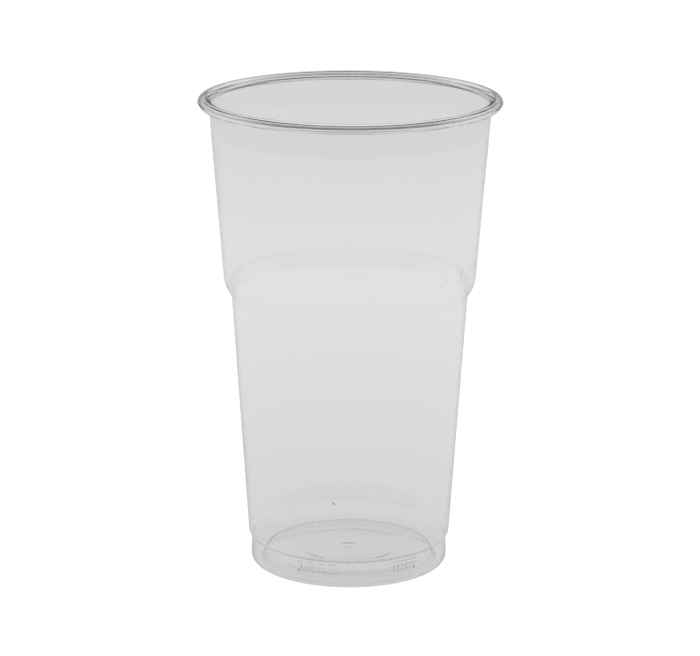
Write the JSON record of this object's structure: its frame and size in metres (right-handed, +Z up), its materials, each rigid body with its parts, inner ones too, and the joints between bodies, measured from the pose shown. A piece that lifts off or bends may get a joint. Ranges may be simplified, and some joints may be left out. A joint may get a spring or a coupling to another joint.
{
  "type": "plastic tumbler cup",
  "caption": "Tall tapered drinking tumbler of clear plastic sheet with a rolled rim, a stacking step part-way up and an undercut foot.",
  "frame": {"origin": "on the cup's axis, at the level of the surface it stands on", "axes": "+Z up along the cup's axis, towards the mouth; X and Y are equivalent, as the cup is round"},
  "size_m": [0.095, 0.095, 0.151],
  "materials": {
    "clear_plastic": "clear gloss, slightly hazy"
  },
  "bodies": {
    "root": {"cup": "clear_plastic"}
  },
  "joints": []
}
